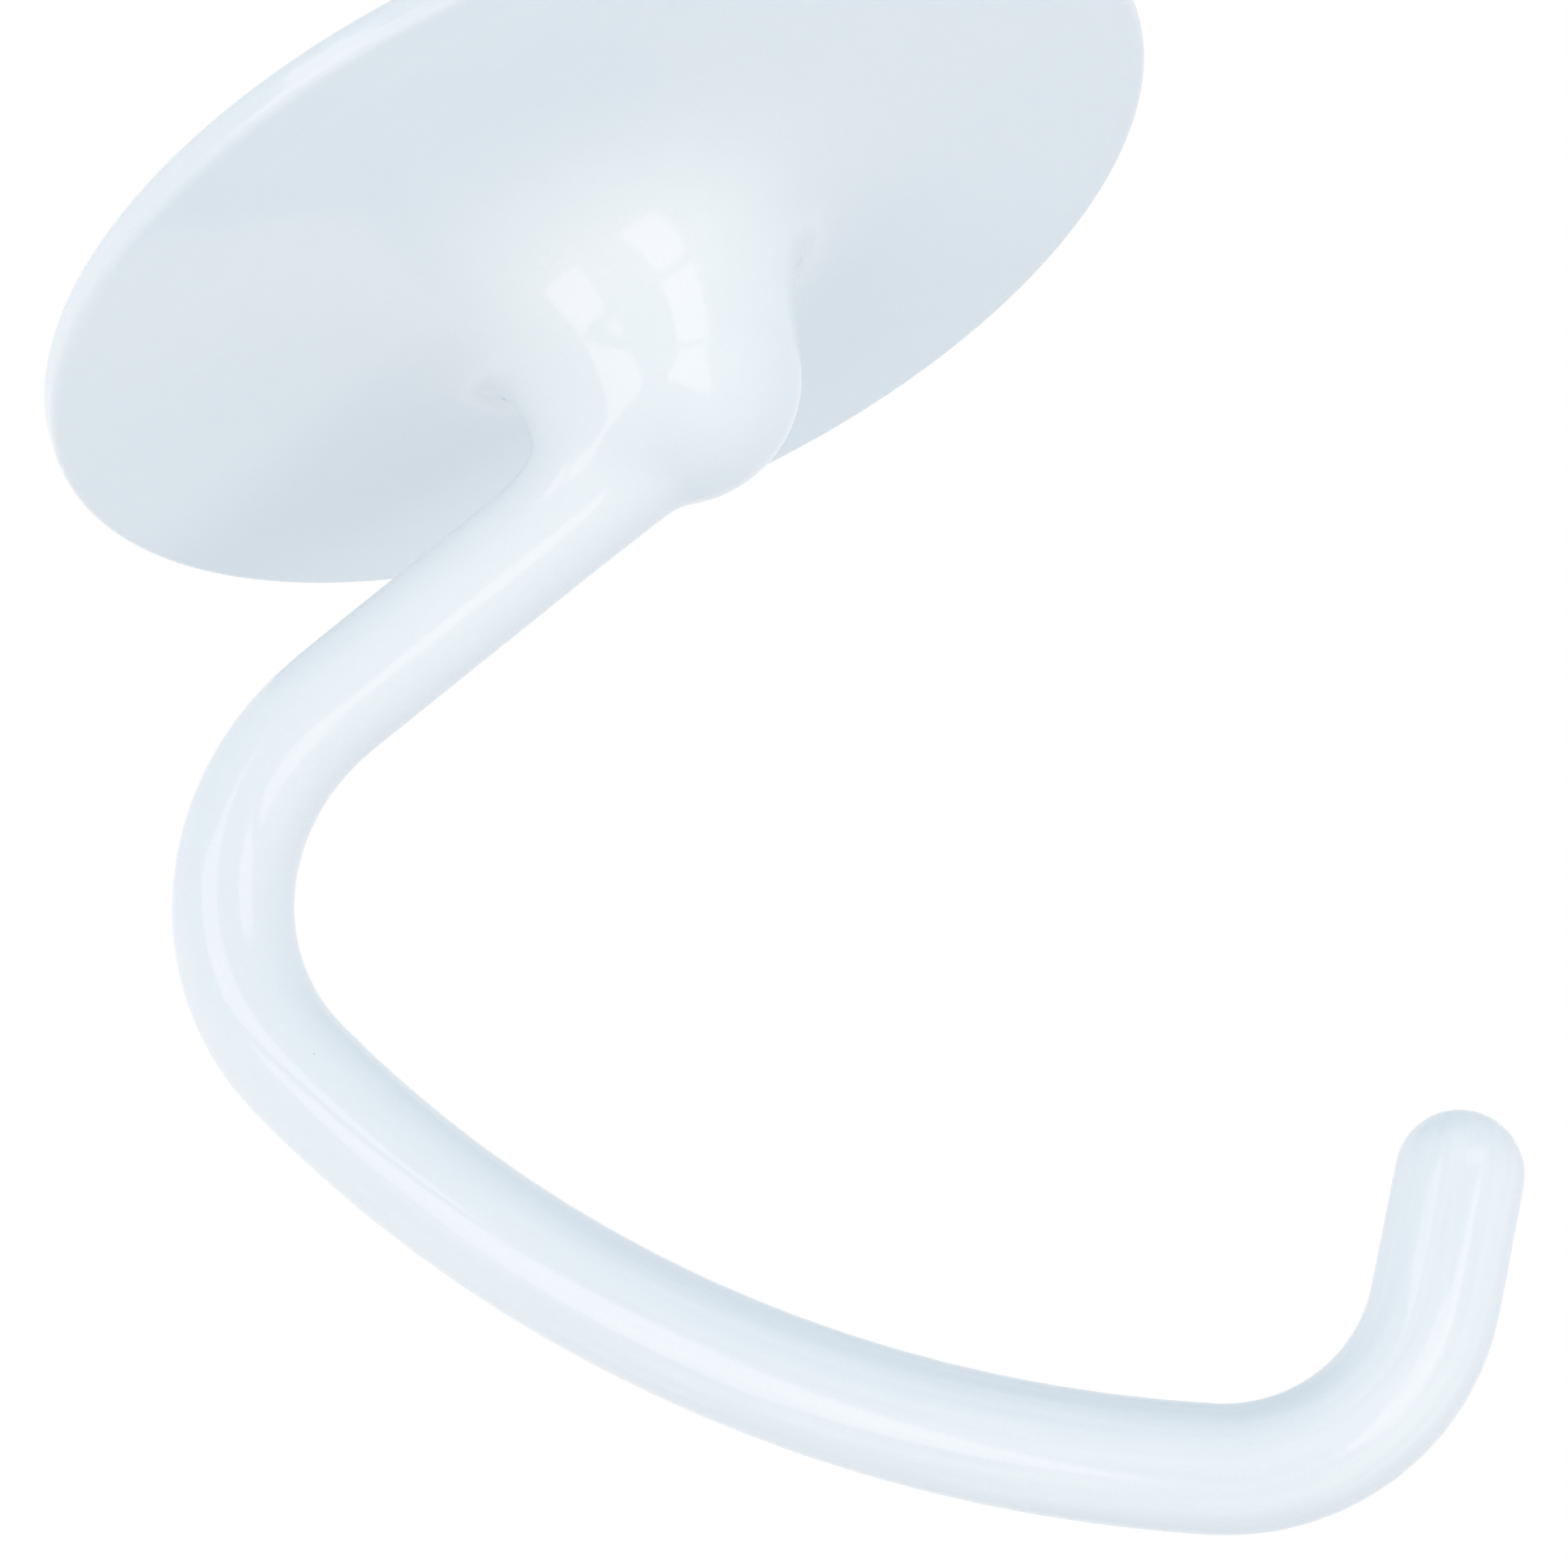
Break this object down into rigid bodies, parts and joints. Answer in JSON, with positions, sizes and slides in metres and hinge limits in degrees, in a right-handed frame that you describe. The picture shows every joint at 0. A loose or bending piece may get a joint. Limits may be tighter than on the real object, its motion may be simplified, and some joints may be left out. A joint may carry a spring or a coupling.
{
  "type": "stand mixer dough hook",
  "caption": "C-shaped dough hook cast in one piece with a tilted round guard disc and a bayonet drive socket, for kneading in a stand mixer's bowl.",
  "frame": {"origin": "on the axis of the drive socket, at the height of the mixer's drive pin when the hook is locked on", "axes": "+Z along the drive socket and out of its mouth, +X towards the hook's tip in the plane of the C, Y across that plane"},
  "size_m": [0.1133, 0.1004, 0.1447],
  "materials": {
    "white_coat": "glossy white coating over cast aluminium"
  },
  "bodies": {
    "root": {"dough_hook": "white_coat"}
  },
  "joints": []
}
